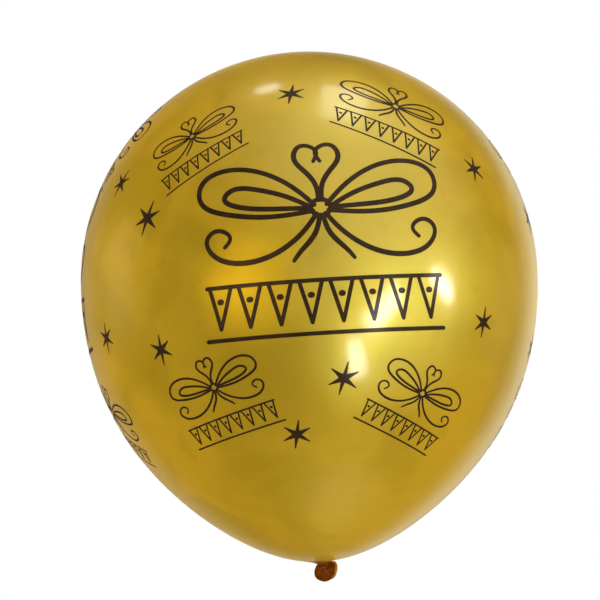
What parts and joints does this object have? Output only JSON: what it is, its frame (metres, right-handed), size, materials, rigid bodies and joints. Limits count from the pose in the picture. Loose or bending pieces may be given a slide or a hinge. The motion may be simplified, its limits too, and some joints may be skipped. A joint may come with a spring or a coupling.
{
  "type": "latex balloon",
  "caption": "Inflated, tied latex balloon in gold with a dark ribbon-bow print, its knotted neck and folded mouth tail able to move.",
  "frame": {"origin": "where the gathered neck leaves the skin, on the balloon's axis: the place that a ribbon or a hand holds", "axes": "+Z along the balloon's axis to its crown, +X to the right of the front print, and the front print faces -Y"},
  "size_m": [0.3001, 0.3, 0.3478],
  "materials": {
    "gold_latex": "pearl gold latex stretched tight, satin with a clear gloss",
    "amber_latex": "unstretched latex, dark amber brown, soft gloss",
    "ink": "thin dark brown-black balloon ink, semi-matt"
  },
  "bodies": {
    "bulb": {"latex_skin": "gold_latex", "print_bow_front": "ink", "print_bow_left": "ink", "print_bow_right": "ink", "print_bunting_front": "ink", "print_bunting_left": "ink", "print_bunting_right": "ink", "print_rule_front": "ink", "print_rule_left": "ink", "print_rule_right": "ink"},
    "neck": {"neck": "gold_latex"},
    "knot": {"knot_core": "amber_latex", "knot_turn": "amber_latex"},
    "tail": {"tail": "amber_latex", "mouth_bead": "amber_latex"}
  },
  "joints": [
    {"name": "neck_pull", "type": "slide", "parent": "bulb", "child": "neck", "axis": [0, 0, -1], "range_m": [0, 0.008], "stiffness_N_per_m": 10, "springref_m": -0.001},
    {"name": "neck_twist", "type": "hinge", "parent": "neck", "child": "knot", "pos_m": [0.003, -0.0006, -0.0008], "axis": [0, 0, 1], "range_deg": [-180, 180], "stiffness_Nm_per_rad": 0.00002},
    {"name": "tail_swing", "type": "hinge", "parent": "knot", "child": "tail", "pos_m": [0.0032, 0.001, -0.0053], "axis": [1, 0, 0], "range_deg": [-90, 0], "stiffness_Nm_per_rad": 0.00002, "springref_deg": 17.19}
  ]
}
